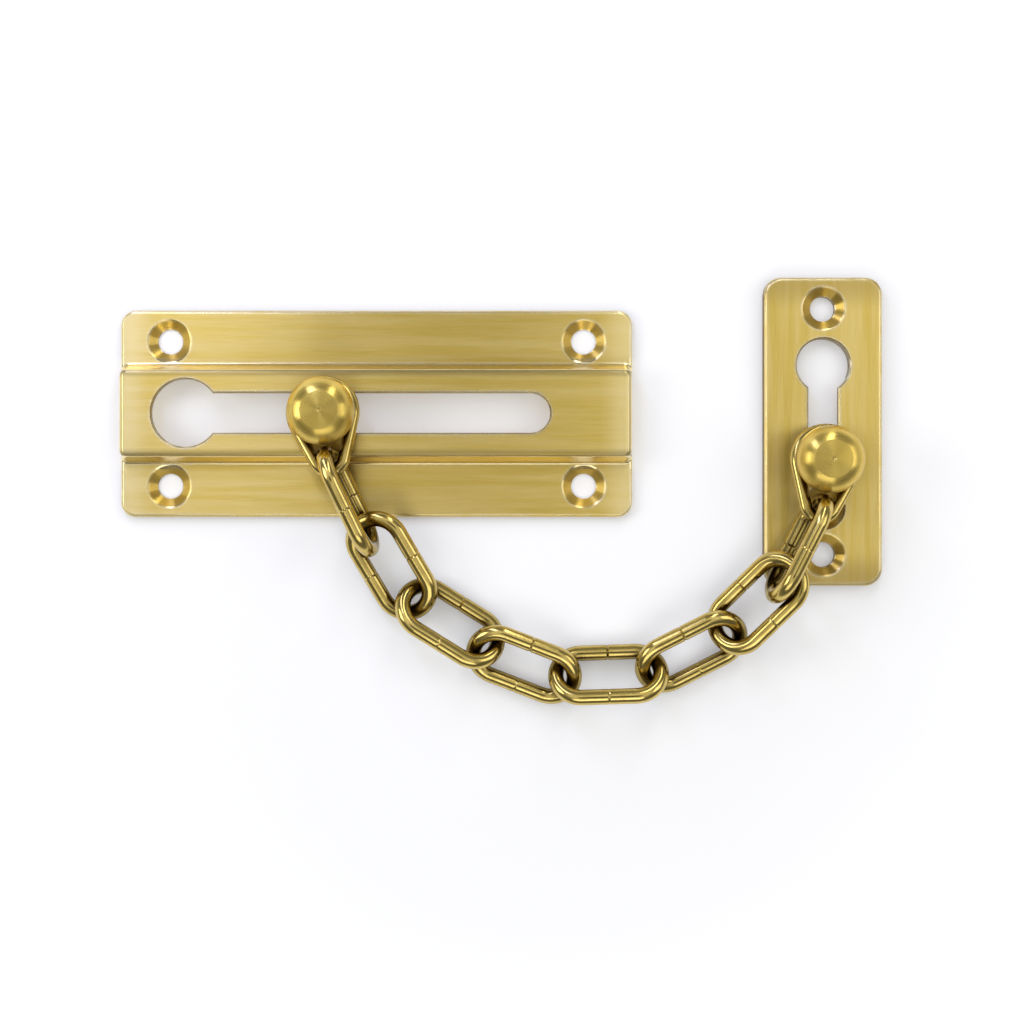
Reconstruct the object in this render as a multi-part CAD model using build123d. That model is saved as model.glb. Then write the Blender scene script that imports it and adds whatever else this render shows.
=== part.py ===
from build123d import *
import math
import os

os.makedirs("parts", exist_ok=True)

# Door chain laid flat, face up, seen from above. Millimetres, +Z up off the table.
# Origin: the centre of the track plate's back face. X runs along the track plate.

# Clearances
slide_gap = 0.15           # stud against the plate faces it slides between
neck_gap = 0.1             # stud neck to slot wall, each side
pocket_gap = 0.4           # keep stud flange to the wall of the pocket behind it

# Track plate, one pressed section with a raised channel along its middle
track_length = 105.0
track_width = 42.4
flange_thickness = 2.0
flange_corner = 3.0
channel_top_width = 17.6
channel_height = 5.8
channel_lean = 18          # of its walls, degrees from upright
channel_wall = 1.6
channel_roof = 1.5
channel_edge = 1.1         # rounding round the channel's top face
channel_corner = 1.5       # rounding of its four ends, seen from above
channel_foot = 0.7         # hollow rounding where its walls rise from the flanges
channel_set_in = 0.3       # of the channel's ends from those of the flanges
rim_edge = 0.7
track_slot_width = 8.1
track_keyhole_diameter = 13.8
track_keyhole_x = -38.7
track_slot_end_x = 31.5    # centre of the slot's round end
slot_edge = 0.3

# Screw holes, countersunk for a No. 8 wood screw
screw_hole = 5.1
screw_sink = 8.8
sink_angle = 100
sink_edge = 0.15           # small bevel round the mouth of each sink
track_hole_x = 85.0
track_hole_y = 29.7

# Keep plate, solid with a shallow pocket behind its slot
keep_width = 24.2
keep_length = 63.2
keep_thickness = 3.2
keep_corner = 3.5
keep_edge = 0.8
keep_roof = 1.5
keep_slot_width = 6.1
keep_keyhole_diameter = 10.9
keep_keyhole_y = 13.6      # from the plate's centre
keep_slot_end_y = -5.9
keep_hole_y = (25.2, -15.6, -25.2)

# Studs, turned in one piece: flange behind, neck in the slot, waist for the ring, knob
stud_flange_thickness = 1.2
track_stud_flange = 10.4
keep_stud_flange = 9.2
waist_diameter = 9.4
knob_diameter = 13.6
knob_root_diameter = 11.2
knob_flare = 1.3
knob_flare_bulge = 0.35    # how far the flare's arc stands off its chord
knob_rim = 0.3
knob_shoulder_radius = 4.2
knob_face_diameter = 7.6   # the flatter round in the middle of the dome
knob_face_rise = 0.12
flange_chamfer = 0.2
pip_diameter = 0.9
pip_depth = 0.35

# Chain links, of thicker wire than the two end rings
wire = 3.2
link_length = 24.6
link_width = 13.6
seam_depth = 0.18          # butt joint left by the closing of each link
seam_width = 0.5
mark_depth = 0.07          # lighter mark of the bending tool on the other leg
ring_wire = 2.5
ring_seam_width = 0.25     # open butt joint at the tip of each end ring
ring_seam_depth = 0.9
ring_waist_gap = 0.3
ring_nose_radius = 3.05    # centreline of the small end

r = wire / 2
ring_r = ring_wire / 2
bow_radius = link_width / 2 - r
half_leg = link_length / 2 - link_width / 2
ring_radius = waist_diameter / 2 + ring_waist_gap + ring_r


def write(name, shape):
    solid = shape.solids()[0]
    solid.label = name
    export_step(solid, f"parts/{name}.step")


def screw_cut(x, y, top, thickness):
    depth = (screw_sink - screw_hole) / 2 / math.tan(math.radians(sink_angle / 2))
    drill = Pos(x, y, top - thickness / 2) * Cylinder(screw_hole / 2, thickness + 2)
    cone = Pos(x, y, top - depth / 2) * Cone(screw_hole / 2, screw_sink / 2, depth)
    inner = screw_sink / 2 - sink_edge * math.tan(math.radians(sink_angle / 2))
    bevel = Cone(inner, screw_sink / 2 + sink_edge, sink_edge)
    return drill + cone + Pos(x, y, top - sink_edge / 2) * bevel


def keyhole_cut(slot, keyhole, length, z0, z1):
    """A slot running in +X from a keyhole at the origin to a round end at length."""
    height = z1 - z0
    middle = (z0 + z1) / 2
    cut = Pos(length / 2, 0, middle) * Box(length, slot, height)
    cut += Pos(length, 0, middle) * Cylinder(slot / 2, height)
    cut += Pos(0, 0, middle) * Cylinder(keyhole / 2, height)
    return cut


def eased_keyhole(slot, keyhole, length, z0, top):
    """The same opening run out past the face at top, with that edge eased."""
    e = slot_edge
    cut = keyhole_cut(slot, keyhole, length, z0, top + 1)
    cut += Pos(0, 0, top - e / 2) * Cone(keyhole / 2, keyhole / 2 + e, e)
    cut += Pos(length, 0, top - e / 2) * Cone(slot / 2, slot / 2 + e, e)
    across = Polyline(
        (-slot / 2, top - e),
        (slot / 2, top - e),
        (slot / 2 + e, top),
        (-slot / 2 - e, top),
        close=True,
    )
    cut += extrude(Plane.YZ * make_face(across), length)
    return cut


def plate(length, width, thickness):
    """A box standing on its back face, centred on the origin."""
    return Box(length, width, thickness, align=(Align.CENTER, Align.CENTER, Align.MIN))


def ridge(length, top_width, height):
    """A bar along X on its back face, with the channel's leaning sides."""
    lean = math.tan(math.radians(channel_lean))
    top = top_width / 2
    foot = top + height * lean
    outline = Polyline((-foot, 0), (foot, 0), (top, height), (-top, height), close=True)
    return extrude(Plane.YZ * make_face(outline), length / 2, both=True)


def track_plate():
    flange = plate(track_length, track_width, flange_thickness)
    flange = fillet(flange.edges().filter_by(Axis.Z), flange_corner)
    flange = fillet(flange.edges().group_by(Axis.Z)[-1], rim_edge)
    channel = ridge(track_length - 2 * channel_set_in, channel_top_width, channel_height)
    corners = channel.edges().filter_by(lambda e: abs(e.center().Z - channel_height / 2) < 0.01)
    channel = fillet(corners, channel_corner)
    channel = fillet(channel.edges().group_by(Axis.Z)[-1], channel_edge)
    body = flange + channel
    feet = body.edges().filter_by(Axis.X).filter_by(
        lambda e: abs(e.center().Z - flange_thickness) < 0.01 and abs(e.center().Y) < track_width / 3
    )
    body = fillet(feet, channel_foot)
    lean = math.radians(channel_lean)
    inside = channel_height - channel_roof
    inside_top = channel_top_width + 2 * (channel_roof * math.tan(lean) - channel_wall / math.cos(lean))
    body -= ridge(track_length + 2, inside_top, inside)
    slot = eased_keyhole(
        track_slot_width,
        track_keyhole_diameter,
        track_slot_end_x - track_keyhole_x,
        inside - 1,
        channel_height,
    )
    body -= Pos(track_keyhole_x, 0, 0) * slot
    for sx in (-1, 1):
        for sy in (-1, 1):
            x = sx * track_hole_x / 2
            y = sy * track_hole_y / 2
            body -= screw_cut(x, y, flange_thickness, flange_thickness)
    return body


def keep_plate():
    """Centred on the plate's own middle, length along Y, keyhole towards +Y."""
    body = plate(keep_width, keep_length, keep_thickness)
    body = fillet(body.edges().filter_by(Axis.Z), keep_corner)
    body = fillet(body.edges().group_by(Axis.Z)[-1], keep_edge)
    travel = keep_keyhole_y - keep_slot_end_y
    place = Pos(0, keep_keyhole_y, 0) * Rot(0, 0, -90)
    pocket_width = keep_stud_flange + 2 * pocket_gap
    pocket_top = keep_thickness - keep_roof
    pocket = keyhole_cut(pocket_width, keep_keyhole_diameter, travel, -1, pocket_top)
    body -= place * pocket
    slot = eased_keyhole(keep_slot_width, keep_keyhole_diameter, travel, pocket_top - 0.5, keep_thickness)
    body -= place * slot
    for y in keep_hole_y:
        body -= screw_cut(0, y, keep_thickness, keep_thickness)
    return body


def stud(flange_diameter, slot_width, underside, top, waist_height):
    """Turned profile about Z, from the flange under the plate to the pip in the knob."""
    flange_top = underside - slide_gap
    flange_low = flange_top - stud_flange_thickness
    shoulder = top + slide_gap
    knob_low = shoulder + waist_height
    widest = knob_low + knob_flare
    dome_low = widest + knob_rim
    neck = slot_width / 2 - neck_gap
    rim = knob_diameter / 2
    pip = pip_diameter / 2
    face = knob_face_diameter / 2
    # The shoulder is an arc that leaves the rim upright and ends at the face
    turned = math.acos((face - rim + knob_shoulder_radius) / knob_shoulder_radius)
    shoulder_arc = JernArc((rim, dome_low), (0, 1), knob_shoulder_radius, math.degrees(turned))
    face_edge = (face, dome_low + knob_shoulder_radius * math.sin(turned))
    crown = face_edge[1] + knob_face_rise
    side = Polyline(
        (pip, crown),
        (0, crown - pip_depth),
        (0, flange_low),
        (flange_diameter / 2 - flange_chamfer, flange_low),
        (flange_diameter / 2, flange_low + flange_chamfer),
        (flange_diameter / 2, flange_top),
        (neck, flange_top),
        (neck, shoulder),
        (waist_diameter / 2, shoulder),
        (waist_diameter / 2, knob_low),
        (knob_root_diameter / 2, knob_low),
    )
    flare = SagittaArc((knob_root_diameter / 2, knob_low), (rim, widest), -knob_flare_bulge)
    edge = Line((rim, widest), (rim, dome_low))
    middle = ((face + pip) / 2, crown - knob_face_rise / 4)
    face_arc = ThreePointArc(face_edge, middle, (pip, crown))
    profile = make_face(Plane.XZ * (side + flare + edge + shoulder_arc + face_arc))
    return revolve(profile, Axis.Z)


def leg(length, depth):
    """A straight run of wire along X, with a V groove of the given depth at its middle."""
    half = length / 2
    g = seam_width / 2
    outline = Polyline(
        (-half, 0),
        (-half, r),
        (-g, r),
        (0, r - depth),
        (g, r),
        (half, r),
        (half, 0),
        close=True,
    )
    return revolve(make_face(outline), Axis.X)


def bend(thickness, radius, x, start, sweep):
    """A bend of wire in the XY plane about (x, 0)."""
    section = Plane.XZ * Pos(radius, 0) * Circle(thickness / 2)
    arc = revolve(section, Axis.Z, sweep)
    return Pos(x, 0, 0) * Rot(0, 0, start) * arc


def chain_link():
    """Stadium link, long axis X, butt seam on the +Y leg."""
    body = Pos(0, bow_radius, 0) * leg(2 * half_leg, seam_depth)
    body += Pos(0, -bow_radius, 0) * leg(2 * half_leg, mark_depth)
    body += bend(wire, bow_radius, half_leg, -90, 180)
    body += bend(wire, bow_radius, -half_leg, 90, 180)
    return body


def end_ring(nose):
    """Teardrop ring: round the stud at the origin, its nose bend centred at (nose, 0)."""
    lean = math.degrees(math.acos((ring_radius - ring_nose_radius) / nose))
    run = math.sqrt(nose**2 - (ring_radius - ring_nose_radius) ** 2)
    body = bend(ring_wire, ring_radius, 0, lean, 360 - 2 * lean)
    body += bend(ring_wire, ring_nose_radius, nose, -lean, 2 * lean)
    for side in (-1, 1):
        a = math.radians(side * lean)
        mid_x = (ring_radius * math.cos(a) + nose + ring_nose_radius * math.cos(a)) / 2
        mid_y = (ring_radius + ring_nose_radius) * math.sin(a) / 2
        run_leg = Rot(0, 90, 0) * Cylinder(ring_r, run)
        body += Pos(mid_x, mid_y, 0) * Rot(0, 0, side * (lean - 90)) * run_leg
    joint = Rot(90, 0, 0) * Cylinder(ring_wire, ring_seam_width)
    joint -= Rot(90, 0, 0) * Cylinder(ring_r - ring_seam_depth, ring_seam_width)
    return body - Pos(nose + ring_nose_radius, 0, 0) * joint


def lie(shape, centre, heading, pitch, roll):
    """Turns a part lying along X: roll about its length, pitch its far end up, then head."""
    turned = Rot(0, 0, heading) * Rot(0, -pitch, 0) * Rot(roll, 0, 0) * shape
    return Pos(*centre) * turned


# Where everything lies. Headings are counted from +X, from the slider end to the keep end.
track_stud_x = -10.4
keep_stud_x = 91.5
keep_stud_y = -9.6
track_waist_height = 6.0
keep_waist_height = 7.6
slider_ring_nose = 9.2
keep_ring_nose = 9.1
slider_ring_pose = (track_stud_x, 0, 8.8), -81, 9, 0
keep_ring_pose = (keep_stud_x, keep_stud_y, 7.6), -100, 10, 0
link_centres = [
    (-5.1, -18.0, 10.2),
    (3.3, -31.1, 5.9),
    (15.2, -42.8, 4.8),
    (30.2, -51.3, 4.3),
    (47.4, -53.2, 5.3),
    (64.3, -48.6, 4.9),
    (77.5, -38.6, 7.8),
    (85.4, -27.4, 10.4),
]
link_turns = [
    # heading, pitch of the far end, roll (left leg up, facing the keep), in degrees
    (-65, -13, -80),
    (-60, -10, 21),
    (-32, -2, -31),
    (-21, 0, 28),
    (2, 2, -35),
    (27, 2, 33),
    (46, 14, -24),
    (63, -2, -80),
]

write("track_plate", track_plate())
track_stud = stud(
    track_stud_flange,
    track_slot_width,
    channel_height - channel_roof,
    channel_height,
    track_waist_height,
)
write("slider_stud", Pos(track_stud_x, 0, 0) * track_stud)
write("slider_end_link", lie(end_ring(slider_ring_nose), *slider_ring_pose))
link = chain_link()
for number, (centre, turns) in enumerate(zip(link_centres, link_turns), 1):
    write(f"chain_link_{number}", lie(link, centre, *turns))
write("keep_end_link", lie(end_ring(keep_ring_nose), *keep_ring_pose))
keep_stud = stud(
    keep_stud_flange,
    keep_slot_width,
    keep_thickness - keep_roof,
    keep_thickness,
    keep_waist_height,
)
write("keep_stud", Pos(keep_stud_x, keep_stud_y, 0) * keep_stud)
write("keep_plate", Pos(keep_stud_x, keep_stud_y - keep_slot_end_y, 0) * keep_plate())
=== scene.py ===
"""Looks for the brass door chain: brushed plates, turned studs and polished wire on a white table."""

import math

import bpy
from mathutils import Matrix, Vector

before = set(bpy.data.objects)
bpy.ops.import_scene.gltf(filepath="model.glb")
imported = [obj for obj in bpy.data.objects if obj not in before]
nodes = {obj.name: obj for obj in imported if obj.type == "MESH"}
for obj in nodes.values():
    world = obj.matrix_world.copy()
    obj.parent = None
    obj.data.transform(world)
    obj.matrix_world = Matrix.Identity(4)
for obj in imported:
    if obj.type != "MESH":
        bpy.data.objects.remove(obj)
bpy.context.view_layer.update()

# Where the camera stands: straight above the table, as far off as on a copy stand. All in metres
CAMERA_AT = (0.02778, -0.02016, 0.402)
VIEW_WIDTH = 0.2101          # width that the picture takes in at VIEW_DISTANCE
VIEW_DISTANCE = 0.400
SENSOR_MM = 36.0
CLIP = (0.01, 20.0)

# Brass tones, from the palest, used for a painted edge highlight, to the darkest, used for tarnish and
# painted shade
BRASS_EDGE_HIGHLIGHT = (1.0, 0.94, 0.74)
BRASS_END_HIGHLIGHT = (1.0, 0.85, 0.44)
BRASS_LIGHT = (0.93, 0.80, 0.46)
BRASS = (0.81, 0.60, 0.155)
BRASS_SINK = (0.70, 0.47, 0.085)
BRASS_DEEP = (0.66, 0.46, 0.09)
BRASS_DULL = (0.42, 0.30, 0.10)
BRASS_TARNISH_AND_SHADE = (0.13, 0.085, 0.02)
WIRE_BRASS = (0.75, 0.57, 0.185)
WIRE_DEEP = (0.55, 0.41, 0.115)

# Where the plates' and studs' own shapes lie, in metres
SINK_RADIUS = 0.00445
TRACK_SINKS = [(side_x * 0.0425, side_y * 0.01485) for side_x in (-1, 1) for side_y in (-1, 1)]
TRACK_MIDDLE_X = 0.0
TRACK_HALF_LENGTH = 0.0525
KEEP_X = 0.0915
KEEP_MIDDLE_Y = -0.0037
KEEP_HALF_LENGTH = 0.0316
KEEP_SINKS = [(KEEP_X, KEEP_MIDDLE_Y + along) for along in (0.0252, -0.0156, -0.0252)]
SLIDER_STUD_AT = (-0.0104, 0.0, 0.0)
KEEP_STUD_AT = (KEEP_X, -0.0096, 0.0)
CHANNEL_ROUND_Y = (0.0070, 0.0084)   # the channel's rounding starts and is full, off the middle line
CHANNEL_EDGE_Y = 0.0087              # its wall starts
CHANNEL_FOOT_Y = 0.0114              # its wall has run out into the flange
END_BAND = 0.0075                    # how far the other tone reaches in from a plate's end
END_BAND_FULL = 0.0015               # how far in from the end it is full

# How far up or down a surface leans: the upright share of its normal, at the start and in full
SLOPE = (0.985, 0.90)
# The next pair picks out the upright cut walls, which are darkened as painted shade
SHADED_WALL = (0.30, 0.10)

# The part of a noise's values that is spread out to the whole range from 0 to 1
NOISE_SPAN = (0.3, 0.7)
SPECK_SPAN = (0.55, 0.75)
BROAD_SHARE = (0.25, 0.12, 0.12)     # the broad bands' number against the fine lines', each way
RING_CLIMB = 0.6                     # how much the lathe's rings follow a surface up as well as out
EDGE_BEND = (0.998, 0.95)            # agreement of the true and the softened normal, at an edge
HIGHLIGHT_PATCHES = (0.25, 0.6, 0.35, 1.0)    # the painted edge highlight is broken into patches: noise from, to, share from, to
WIRE_CLOUD = (0.0, 1.0, 0.30, 1.0)       # the deeper tone's share on the wire, clear to clouded
CLOSE_BY = (0.90, 0.45)                  # open sky over the wire, where its painted shade starts and is full

# How much plain brass evens out the lines, and how rough each kind of surface is before its marks
PLATE_EVENED = 0.35
STUD_EVENED = 0.55
PLATE_ROUGH = 0.32
STUD_ROUGH = 0.24
WIRE_ROUGH = 0.13


# Small helpers for node trees

def new_group(name, inputs, outputs):
    """A shader node group with its named sockets, given as (name, socket type, default)."""
    group = bpy.data.node_groups.new(name, "ShaderNodeTree")
    for label, kind, default in inputs:
        socket = group.interface.new_socket(label, in_out="INPUT", socket_type=kind)
        if default is not None:
            socket.default_value = default
    for label, kind in outputs:
        group.interface.new_socket(label, in_out="OUTPUT", socket_type=kind)
    start = group.nodes.new("NodeGroupInput")
    end = group.nodes.new("NodeGroupOutput")
    return group, start.outputs, end.inputs


def put(tree, kind, values=None, **settings):
    """A node with its settings, and its inputs set or linked by name or number."""
    node = tree.nodes.new(kind)
    for key, value in settings.items():
        setattr(node, key, value)
    for key, value in (values or {}).items():
        if isinstance(value, bpy.types.NodeSocket):
            tree.links.new(value, node.inputs[key])
        else:
            node.inputs[key].default_value = value
    return node


def use(tree, group, values):
    """A copy of a shared group, with its inputs set or linked."""
    return put(tree, "ShaderNodeGroup", values, node_tree=group).outputs


def calc(tree, operation, a, b=0.0, clamp=False):
    """One step of arithmetic with numbers."""
    return put(tree, "ShaderNodeMath", {0: a, 1: b}, operation=operation, use_clamp=clamp).outputs[0]


def vector_calc(tree, operation, *vectors):
    """One step of arithmetic with vectors, whose result is a number for a length and the like."""
    node = put(tree, "ShaderNodeVectorMath", dict(enumerate(vectors)), operation=operation)
    return node.outputs["Value" if operation in ("LENGTH", "DISTANCE", "DOT_PRODUCT") else "Vector"]


def vector_of(tree, x, y, z):
    return put(tree, "ShaderNodeCombineXYZ", {0: x, 1: y, 2: z}).outputs[0]


def parts_of(tree, vector):
    return put(tree, "ShaderNodeSeparateXYZ", {0: vector}).outputs


def noise(tree, values, **settings):
    return put(tree, "ShaderNodeTexNoise", values, **settings).outputs["Fac"]


def spread(tree, value, low, high, out_low=0.0, out_high=1.0, smooth=True):
    """Value mapped from low..high to out_low..out_high."""
    node = put(
        tree,
        "ShaderNodeMapRange",
        {"Value": value, "From Min": low, "From Max": high, "To Min": out_low, "To Max": out_high},
        interpolation_type="SMOOTHSTEP" if smooth else "LINEAR",
    )
    return node.outputs["Result"]


def opaque(colour):
    """A colour of three numbers with full opacity. A socket stays as it is."""
    return colour if isinstance(colour, bpy.types.NodeSocket) else (*colour, 1.0)


def mixed(tree, factor, a, b):
    """Colour a where the factor is 0, and b where it is 1."""
    sockets = {0: factor, 6: opaque(a), 7: opaque(b)}
    return put(tree, "ShaderNodeMix", sockets, data_type="RGBA").outputs[2]


def picked(tree, factor, a, b):
    """Vector a where the factor is 0, and b where it is 1."""
    return put(tree, "ShaderNodeMix", {0: factor, 4: a, 5: b}, data_type="VECTOR").outputs[1]


def layered(tree, tone, layers):
    """The tone with other tones laid over it in turn, each given as (where, share, colour)."""
    for where, share, colour in layers:
        tone = mixed(tree, calc(tree, "MULTIPLY", where, share, clamp=True), tone, colour)
    return tone


def stepped(tree, value, steps):
    """The value with something added to it in turn, each step given as (where, amount)."""
    for where, amount in steps:
        value = calc(tree, "ADD", value, calc(tree, "MULTIPLY", where, amount))
    return value


# Effects that several materials share

def grain_lines():
    """Fine lines left by the brushing belt, long along X of the given vector."""
    group, given, result = new_group(
        "grain lines",
        [
            ("Vector", "NodeSocketVector", None),
            ("Lines Per Metre", "NodeSocketFloat", 5000.0),
            ("Stretch", "NodeSocketFloat", 36.0),
        ],
        [("Fine", "NodeSocketFloat"), ("Broad", "NodeSocketFloat")],
    )
    across = given["Lines Per Metre"]
    along = calc(group, "DIVIDE", across, given["Stretch"])
    stretched = vector_calc(group, "MULTIPLY", given["Vector"], vector_of(group, along, across, across))
    fine = noise(group, {"Vector": stretched, "Scale": 1.0, "Detail": 3.0, "Roughness": 0.65})
    fewer = vector_calc(group, "MULTIPLY", stretched, BROAD_SHARE)
    broad = noise(group, {"Vector": fewer, "Scale": 1.0, "Detail": 2.0, "Roughness": 0.5})
    group.links.new(spread(group, fine, *NOISE_SPAN, smooth=False), result["Fine"])
    group.links.new(spread(group, broad, *NOISE_SPAN), result["Broad"])
    return group


def turned_rings():
    """Rings left by the lathe round the upright line through Centre, and the way out from it."""
    group, given, result = new_group(
        "turned rings",
        [
            ("Vector", "NodeSocketVector", None),
            ("Centre", "NodeSocketVector", None),
            ("Rings Per Metre", "NodeSocketFloat", 5000.0),
        ],
        [("Rings", "NodeSocketFloat"), ("Radius", "NodeSocketFloat"), ("Outward", "NodeSocketVector")],
    )
    offset = vector_calc(group, "SUBTRACT", given["Vector"], given["Centre"])
    flat = vector_calc(group, "MULTIPLY", offset, (1.0, 1.0, 0.0))
    radius = vector_calc(group, "LENGTH", flat)
    run = stepped(group, radius, [(parts_of(group, offset)[2], RING_CLIMB)])
    turns = calc(group, "MULTIPLY", run, given["Rings Per Metre"])
    rings = noise(group, {"W": turns, "Scale": 1.0, "Detail": 2.0}, noise_dimensions="1D")
    group.links.new(spread(group, rings, *NOISE_SPAN, smooth=False), result["Rings"])
    group.links.new(radius, result["Radius"])
    group.links.new(vector_calc(group, "NORMALIZE", flat), result["Outward"])
    return group


def painted_edge_highlight():
    """Where outer edges get a painted highlight, from the bend of the surface within Width, broken into
    patches.
    """
    group, given, result = new_group(
        "painted edge highlight",
        [("Width", "NodeSocketFloat", 0.0003), ("Vector", "NodeSocketVector", None)],
        [("Edge", "NodeSocketFloat")],
    )
    soft = put(group, "ShaderNodeBevel", {"Radius": given["Width"]}, samples=4).outputs[0]
    sharp = put(group, "ShaderNodeNewGeometry").outputs["Normal"]
    bend = spread(group, vector_calc(group, "DOT_PRODUCT", soft, sharp), *EDGE_BEND)
    patches = noise(group, {"Vector": given["Vector"], "Scale": 260.0, "Detail": 3.0})
    broken = spread(group, patches, *HIGHLIGHT_PATCHES)
    group.links.new(calc(group, "MULTIPLY", bend, broken, clamp=True), result["Edge"])
    return group


def handling():
    """Faint cloudy patches and specks left by fingers and air on bare brass."""
    group, given, result = new_group(
        "handling",
        [("Vector", "NodeSocketVector", None), ("Patches Per Metre", "NodeSocketFloat", 60.0)],
        [("Cloud", "NodeSocketFloat"), ("Speck", "NodeSocketFloat")],
    )
    place = given["Vector"]
    patches = given["Patches Per Metre"]
    cloud = noise(group, {"Vector": place, "Scale": patches, "Detail": 4.0, "Roughness": 0.55})
    speck = noise(group, {"Vector": place, "Scale": 1900.0, "Detail": 2.0})
    group.links.new(spread(group, cloud, *NOISE_SPAN), result["Cloud"])
    group.links.new(spread(group, speck, *SPECK_SPAN), result["Speck"])
    return group


GRAIN = grain_lines()
RINGS = turned_rings()
EDGE_HIGHLIGHT = painted_edge_highlight()
HANDLING = handling()


# Materials

def blank_material(name, metallic):
    """A new material with its tree, its shader's sockets and the place on the piece."""
    material = bpy.data.materials.new(name)
    material.use_nodes = True
    tree = material.node_tree
    tree.nodes.clear()
    shader = put(tree, "ShaderNodeBsdfPrincipled", {"Metallic": metallic})
    put(tree, "ShaderNodeOutputMaterial", {"Surface": shader.outputs[0]})
    place = put(tree, "ShaderNodeTexCoord").outputs["Object"]
    return material, tree, shader.inputs, place


def sunk_rings(tree, place, sinks, way):
    """The countersinks: where they are, how high their rings stand, and which way the sheen runs."""
    in_sink = 0.0
    ring_height = 0.0
    for x, y in sinks:
        rings = use(tree, RINGS, {"Vector": place, "Centre": (x, y, 0.0), "Rings Per Metre": 4200.0})
        near = calc(tree, "LESS_THAN", rings["Radius"], SINK_RADIUS)
        ring_height = calc(tree, "MAXIMUM", ring_height, calc(tree, "MULTIPLY", near, rings["Rings"]))
        in_sink = calc(tree, "MAXIMUM", in_sink, near)
        way = picked(tree, near, way, rings["Outward"])
    return in_sink, ring_height, way


def channel_highlight_and_shade(tree, across, upright):
    """Where the channel's walls and feet get a painted highlight, and its roundings painted shade."""
    off_line = calc(tree, "ABSOLUTE", across)
    on_wall = calc(tree, "GREATER_THAN", off_line, CHANNEL_EDGE_Y)
    by_wall = calc(tree, "LESS_THAN", off_line, CHANNEL_FOOT_Y)
    bright = calc(tree, "MULTIPLY", spread(tree, upright, *SLOPE), calc(tree, "MULTIPLY", on_wall, by_wall))
    painted_round_shade = calc(tree, "SUBTRACT", spread(tree, off_line, *CHANNEL_ROUND_Y), on_wall)
    return bright, painted_round_shade


def brushed_brass(name, along_y, sinks, middle, half_length, end_tone):
    """A plate brushed along its length, with turned countersinks, painted shade on its upright cut walls
    and a painted highlight on its edges.
    """
    material, tree, shader, place = blank_material(name, 1.0)
    x, y, z = parts_of(tree, place)
    length, width = (y, x) if along_y else (x, y)
    lean = parts_of(tree, put(tree, "ShaderNodeTexCoord").outputs["Normal"])[2]
    upright = calc(tree, "ABSOLUTE", lean)
    run = vector_of(tree, length, width, z)
    grain = use(tree, GRAIN, {"Vector": run, "Lines Per Metre": 5000.0, "Stretch": 36.0})
    touch = use(tree, HANDLING, {"Vector": place})
    edge = use(tree, EDGE_HIGHLIGHT, {"Vector": place, "Width": 0.0008})["Edge"]

    # The sheen spreads across the brushing, and across the rings in the countersinks
    across = vector_of(tree, float(along_y), float(not along_y), 0.0)
    in_sink, ring_height, way = sunk_rings(tree, place, sinks, across)
    turn = {"vector_type": "VECTOR", "convert_from": "OBJECT", "convert_to": "WORLD"}
    tree.links.new(put(tree, "ShaderNodeVectorTransform", {0: way}, **turn).outputs[0], shader["Tangent"])
    shader["Anisotropic"].default_value = 0.90

    # The last few millimetres at each end take another tone: a painted highlight on the track plate, darker
    # on the keep plate
    from_middle = calc(tree, "ABSOLUTE", calc(tree, "SUBTRACT", length, middle))
    at_end = spread(tree, from_middle, half_length - END_BAND, half_length - END_BAND_FULL)
    layers = [
        # where, share, colour
        (grain["Broad"], 0.24, BRASS_LIGHT),
        (touch["Cloud"], 0.16, BRASS_DEEP),
        (at_end, 0.50, end_tone),
        (in_sink, 0.62, BRASS_SINK),
        # painted highlight on the outer edges
        (edge, 1.0, BRASS_EDGE_HIGHLIGHT),
        # painted shade on the upright cut walls
        (spread(tree, upright, *SHADED_WALL), 0.90, BRASS_TARNISH_AND_SHADE),
    ]
    steps = [
        # where, added roughness
        (grain["Broad"], 0.05),
        (touch["Cloud"], 0.03),
        (in_sink, -0.05),
        (edge, -0.14),
    ]
    if not along_y:
        # The track plate's channel: painted highlight on its walls and feet, painted shade on its roundings
        bright, painted_round_shade = channel_highlight_and_shade(tree, width, upright)
        layers += [(bright, 0.65, BRASS_LIGHT), (painted_round_shade, 0.50, BRASS_TARNISH_AND_SHADE)]
        steps.append((bright, -0.17))
    lined = mixed(tree, grain["Fine"], BRASS_DEEP, BRASS)
    tone = layered(tree, mixed(tree, PLATE_EVENED, lined, BRASS), layers)
    tree.links.new(tone, shader["Base Color"])
    tree.links.new(stepped(tree, PLATE_ROUGH, steps), shader["Roughness"])

    lines = calc(tree, "MULTIPLY", grain["Fine"], calc(tree, "SUBTRACT", 1.0, in_sink))
    height = stepped(tree, lines, [(ring_height, 2.0)])
    bump = put(tree, "ShaderNodeBump", {"Height": height, "Distance": 0.000006, "Strength": 0.6})
    tree.links.new(bump.outputs[0], shader["Normal"])
    return material


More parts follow.
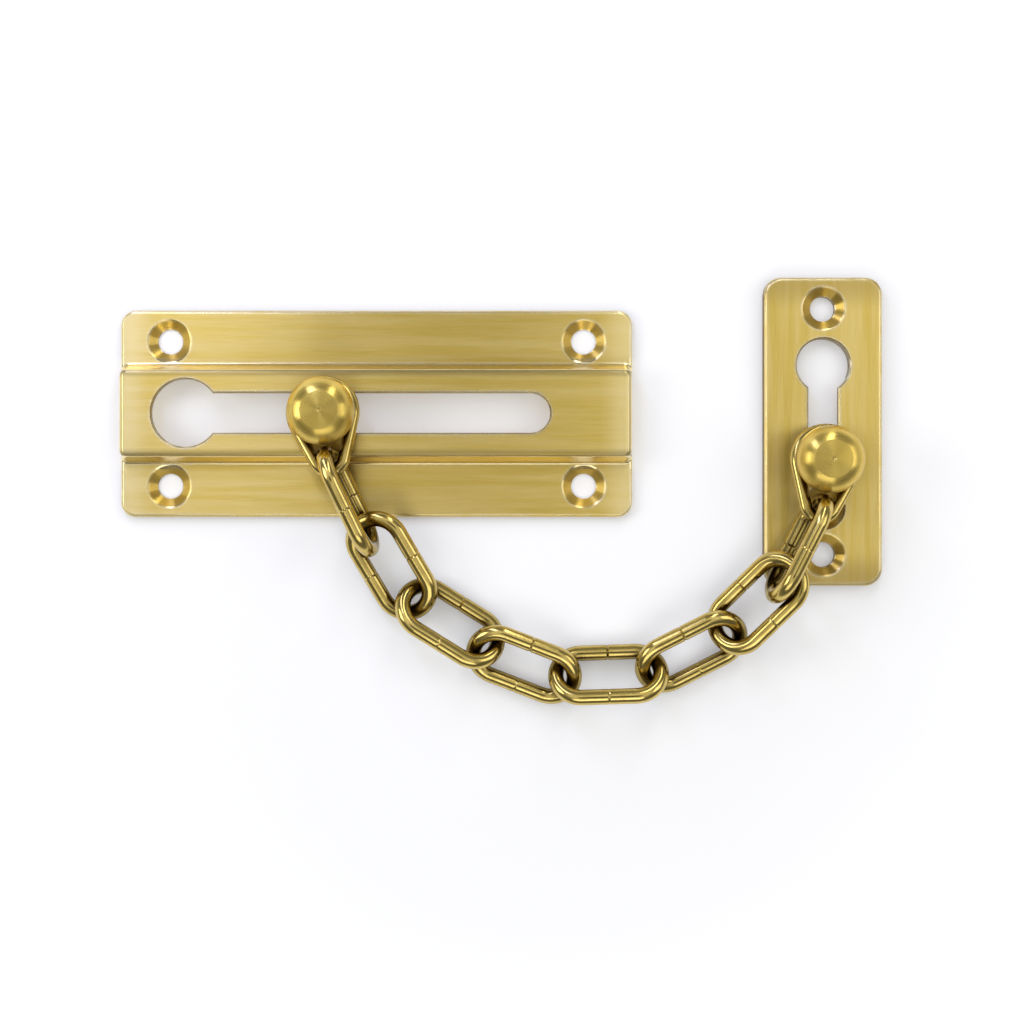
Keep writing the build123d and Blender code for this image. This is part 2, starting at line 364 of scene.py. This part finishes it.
def turned_brass(name, middle):
    """A turned and buffed stud about the upright line through its middle."""
    material, tree, shader, place = blank_material(name, 1.0)
    rings = use(tree, RINGS, {"Vector": place, "Centre": middle, "Rings Per Metre": 6500.0})["Rings"]
    cloud = use(tree, HANDLING, {"Vector": place, "Patches Per Metre": 180.0})["Cloud"]
    edge = use(tree, EDGE_HIGHLIGHT, {"Vector": place, "Width": 0.0003})["Edge"]
    ringed = mixed(tree, rings, BRASS_DEEP, BRASS)
    # The stud's edges are lightened as a painted highlight
    # where, share, colour
    layers = [(cloud, 0.60, BRASS_DEEP), (edge, 0.60, BRASS_LIGHT)]
    tree.links.new(layered(tree, mixed(tree, STUD_EVENED, ringed, BRASS), layers), shader["Base Color"])
    # where, added roughness
    steps = [(cloud, 0.06), (rings, 0.03)]
    tree.links.new(stepped(tree, STUD_ROUGH, steps), shader["Roughness"])
    bump = put(tree, "ShaderNodeBump", {"Height": rings, "Distance": 0.000004, "Strength": 0.5})
    tree.links.new(bump.outputs[0], shader["Normal"])
    # The sheen spreads from the middle outwards, across the turning rings
    shader["Anisotropic"].default_value = 0.8
    shader["Anisotropic Rotation"].default_value = 0.25
    way = put(tree, "ShaderNodeTangent", direction_type="RADIAL", axis="Z").outputs[0]
    tree.links.new(way, shader["Tangent"])
    return material


def polished_wire(name):
    """Drawn and tumbled chain wire with tarnished specks, and painted shade low on its sides and where
    links meet, where little open sky reaches.
    """
    material, tree, shader, place = blank_material(name, 1.0)
    touch = use(tree, HANDLING, {"Vector": place, "Patches Per Metre": 320.0})
    open_sky = put(tree, "ShaderNodeAmbientOcclusion", {"Distance": 0.014}, samples=8).outputs["AO"]
    shade_near_things = spread(tree, open_sky, *CLOSE_BY)
    deeper = spread(tree, touch["Cloud"], *WIRE_CLOUD, smooth=False)
    # Specks are tarnish; where little open sky reaches, the wire is darkened as painted shade
    # where, share, colour
    layers = [(touch["Speck"], 0.15, BRASS_TARNISH_AND_SHADE), (shade_near_things, 0.92, BRASS_TARNISH_AND_SHADE)]
    tone = layered(tree, mixed(tree, deeper, WIRE_BRASS, WIRE_DEEP), layers)
    tree.links.new(tone, shader["Base Color"])
    # where, added roughness
    steps = [(touch["Cloud"], 0.06), (touch["Speck"], 0.06)]
    tree.links.new(stepped(tree, WIRE_ROUGH, steps), shader["Roughness"])
    dents = noise(tree, {"Vector": place, "Scale": 700.0, "Detail": 2.0})
    bump = put(tree, "ShaderNodeBump", {"Height": dents, "Distance": 0.00002, "Strength": 0.3})
    tree.links.new(bump.outputs[0], shader["Normal"])
    return material


def dress(name, material):
    for entry in nodes[name].material_slots:
        entry.material = material


track_brass = brushed_brass(
    "brushed brass of the track plate",
    along_y=False,
    sinks=TRACK_SINKS,
    middle=TRACK_MIDDLE_X,
    half_length=TRACK_HALF_LENGTH,
    end_tone=BRASS_END_HIGHLIGHT,
)
keep_brass = brushed_brass(
    "brushed brass of the keep plate",
    along_y=True,
    sinks=KEEP_SINKS,
    middle=KEEP_MIDDLE_Y,
    half_length=KEEP_HALF_LENGTH,
    end_tone=BRASS_DULL,
)
dress("track_plate", track_brass)
dress("keep_plate", keep_brass)
dress("slider_stud", turned_brass("turned brass of the slider stud", SLIDER_STUD_AT))
dress("keep_stud", turned_brass("turned brass of the keep stud", KEEP_STUD_AT))
wire = polished_wire("polished brass wire")
for node_name in nodes:
    if node_name.startswith("chain_link") or node_name.endswith("end_link"):
        dress(node_name, wire)


# White table

WHITE = (1.0, 1.0, 1.0, 1.0)
TABLE_HALF_WIDTH = 3.0
TABLE_TOP_Z = -0.00005       # a hair below the plates' backs
TABLE_PAINT = 0.90
# Added where the table is seen, not where it lights the brass: round the chain, and far out
TABLE_GLOW = 0.22
TABLE_GLOW_FAR = 0.36
TABLE_MIDDLE = (0.02778, -0.02016, 0.0)
GLOW_REACH = (0.0570, 0.1413)    # distances from the table's middle between which it rises


def table_top():
    """The table the chain lies on, which only carries it and isn't part of it."""
    half = TABLE_HALF_WIDTH
    corners = [(-half, -half, 0), (half, -half, 0), (half, half, 0), (-half, half, 0)]
    mesh = bpy.data.meshes.new("table_top")
    mesh.from_pydata(corners, [], [(0, 1, 2, 3)])
    table = bpy.data.objects.new("table_top", mesh)
    bpy.context.scene.collection.objects.link(table)
    table.location.z = TABLE_TOP_Z
    material, tree, shader, place = blank_material("white table", 0.0)
    shader["Base Color"].default_value = (TABLE_PAINT, TABLE_PAINT, TABLE_PAINT, 1.0)
    shader["Roughness"].default_value = 0.9
    shader["Specular IOR Level"].default_value = 0.0
    shader["Emission Color"].default_value = WHITE
    seen = put(tree, "ShaderNodeLightPath").outputs
    glow = calc(tree, "MAXIMUM", seen["Is Camera Ray"], seen["Is Glossy Ray"])
    glow = calc(tree, "MAXIMUM", glow, seen["Is Transmission Ray"])
    away = vector_calc(tree, "DISTANCE", place, TABLE_MIDDLE)
    near, far = GLOW_REACH
    level = spread(tree, calc(tree, "POWER", away, 2.0), near ** 2, far ** 2, TABLE_GLOW, TABLE_GLOW_FAR)
    tree.links.new(calc(tree, "MULTIPLY", glow, level), shader["Emission Strength"])
    mesh.materials.append(material)


table_top()


# Light: five soft boxes round a dim white tent

TENT = [
    # share of the way from straight up to the horizon, brightness
    (0.0, 0.06),
    (0.08, 0.10),
    (0.17, 0.82),
    (0.30, 0.86),
    (0.42, 0.40),
    (0.60, 0.18),
    (0.82, 0.22),
    (1.0, 0.42),
]
# The tent is a little brighter towards the back: how far back, and how bright there
TENT_DEPTH = (-0.8, 0.8)
TENT_DEPTH_LEVELS = (0.8, 1.2)

PLAIN_LIGHT = (1.0, 1.0, 1.0)
COOL_LIGHT = (0.96, 1.02, 1.55)
BOXES = [
    # name, where its middle stands, its width and height in metres, brightness, colour
    ("left_back_box", (-0.096, 0.187, 0.19), (0.06, 0.22), 2.55, COOL_LIGHT),
    ("right_back_box", (0.110, 0.232, 0.20), (0.06, 0.22), 3.0, PLAIN_LIGHT),
    ("right_box", (0.30, 0.02, 0.22), (0.20, 0.16), 1.3, PLAIN_LIGHT),
    ("front_box", (0.03, -0.23, 0.24), (0.25, 0.12), 1.3, PLAIN_LIGHT),
    ("left_box", (-0.30, 0.02, 0.24), (0.20, 0.16), 2.7, PLAIN_LIGHT),
]
BOX_WATTS = 4.0              # watts for each square metre of a box at brightness 1
BOXES_AIM_AT = (0.028, -0.010, 0.0)


def tent():
    """The world: grey cloth by its height above the horizon, and white where it is seen directly."""
    world = bpy.data.worlds.new("tent")
    bpy.context.scene.world = world
    world.use_nodes = True
    tree = world.node_tree
    tree.nodes.clear()
    toward = parts_of(tree, put(tree, "ShaderNodeTexCoord").outputs["Generated"])
    angle = calc(tree, "ARCCOSINE", calc(tree, "MAXIMUM", toward[2], 0.0))
    ramp = put(tree, "ShaderNodeValToRGB", {0: calc(tree, "MULTIPLY", angle, 2.0 / math.pi)})
    band = ramp.color_ramp
    band.interpolation = "EASE"
    while len(band.elements) < len(TENT):
        band.elements.new(0.5)
    for element, (at, level) in zip(band.elements, TENT):
        element.position = at
        element.color = (level, level, level, 1.0)
    back = spread(tree, toward[1], *TENT_DEPTH, *TENT_DEPTH_LEVELS)
    level = calc(tree, "MULTIPLY", ramp.outputs[0], back)
    cloth = put(tree, "ShaderNodeBackground", {"Color": WHITE, "Strength": level}).outputs[0]
    white = put(tree, "ShaderNodeBackground", {"Color": WHITE, "Strength": 1.0}).outputs[0]
    seen = put(tree, "ShaderNodeLightPath").outputs["Is Camera Ray"]
    surface = put(tree, "ShaderNodeMixShader", {0: seen, 1: cloth, 2: white}).outputs[0]
    put(tree, "ShaderNodeOutputWorld", {"Surface": surface})


def soft_boxes():
    """Rectangular lamps that stand round the chain and face its middle."""
    for name, place, (width, height), level, colour in BOXES:
        lamp = bpy.data.lights.new(name, "AREA")
        lamp.shape = "RECTANGLE"
        lamp.color = colour
        lamp.size = width
        lamp.size_y = height
        lamp.energy = level * BOX_WATTS * width * height
        box = bpy.data.objects.new(name, lamp)
        bpy.context.scene.collection.objects.link(box)
        box.location = place
        facing = Vector(BOXES_AIM_AT) - Vector(place)
        box.rotation_euler = facing.to_track_quat("-Z", "Y").to_euler()
        box.visible_camera = False


tent()
soft_boxes()


# Camera

def camera():
    data = bpy.data.cameras.new("camera")
    data.sensor_width = SENSOR_MM
    data.lens = SENSOR_MM * VIEW_DISTANCE / VIEW_WIDTH
    data.clip_start, data.clip_end = CLIP
    holder = bpy.data.objects.new("camera", data)
    bpy.context.scene.collection.objects.link(holder)
    holder.location = CAMERA_AT
    bpy.context.scene.camera = holder


camera()
bpy.context.scene.view_settings.view_transform = "Standard"

bpy.context.view_layer.update()
